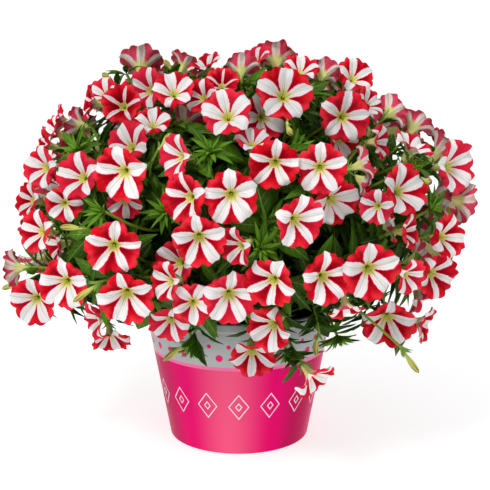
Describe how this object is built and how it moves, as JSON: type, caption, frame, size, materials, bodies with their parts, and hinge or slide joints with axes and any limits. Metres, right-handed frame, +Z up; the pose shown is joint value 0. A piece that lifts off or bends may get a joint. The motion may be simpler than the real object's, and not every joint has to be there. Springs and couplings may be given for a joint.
{
  "type": "potted petunia",
  "caption": "Round nursery pot of compost with a dense dome of red petunia trumpets, each with a white five-rayed star, over green leafy shoots.",
  "frame": {"origin": "centre of the pot's flat base, where it rests", "axes": "+Z up along the pot's axis, -Y towards the front that the picture shows, +X to the right as seen from the front"},
  "size_m": [0.4637, 0.4198, 0.397],
  "materials": {
    "pot": "satin",
    "compost": "matte",
    "leaves": "satin",
    "petals": "satin"
  },
  "bodies": {
    "root": {"bloom_spray_01": "petals", "bloom_spray_02": "petals", "bloom_spray_03": "petals", "bloom_spray_04": "petals", "bloom_spray_05": "petals", "bloom_spray_06": "petals", "bloom_spray_07": "petals", "bloom_spray_08": "petals", "bloom_spray_09": "petals", "bloom_spray_10": "petals", "bloom_spray_11": "petals", "bloom_spray_12": "petals", "bloom_spray_13": "petals", "bloom_spray_14": "petals", "bloom_spray_15": "petals", "bloom_spray_16": "petals", "bloom_spray_17": "petals", "bloom_spray_18": "petals", "bloom_spray_19": "petals", "bloom_spray_20": "petals", "bloom_spray_21": "petals", "bloom_spray_22": "petals", "bloom_spray_23": "petals", "bloom_spray_24": "petals", "bloom_spray_25": "petals", "bloom_spray_26": "petals", "bloom_spray_27": "petals", "bloom_spray_28": "petals", "bloom_spray_29": "petals", "bloom_spray_30": "petals", "bloom_spray_31": "petals", "compost": "compost", "leafy_shoot_01": "leaves", "leafy_shoot_02": "leaves", "leafy_shoot_03": "leaves", "leafy_shoot_04": "leaves", "leafy_shoot_05": "leaves", "leafy_shoot_06": "leaves", "leafy_shoot_07": "leaves", "leafy_shoot_08": "leaves", "leafy_shoot_09": "leaves", "leafy_shoot_10": "leaves", "leafy_shoot_11": "leaves", "leafy_shoot_12": "leaves", "pot": "pot"}
  },
  "joints": []
}
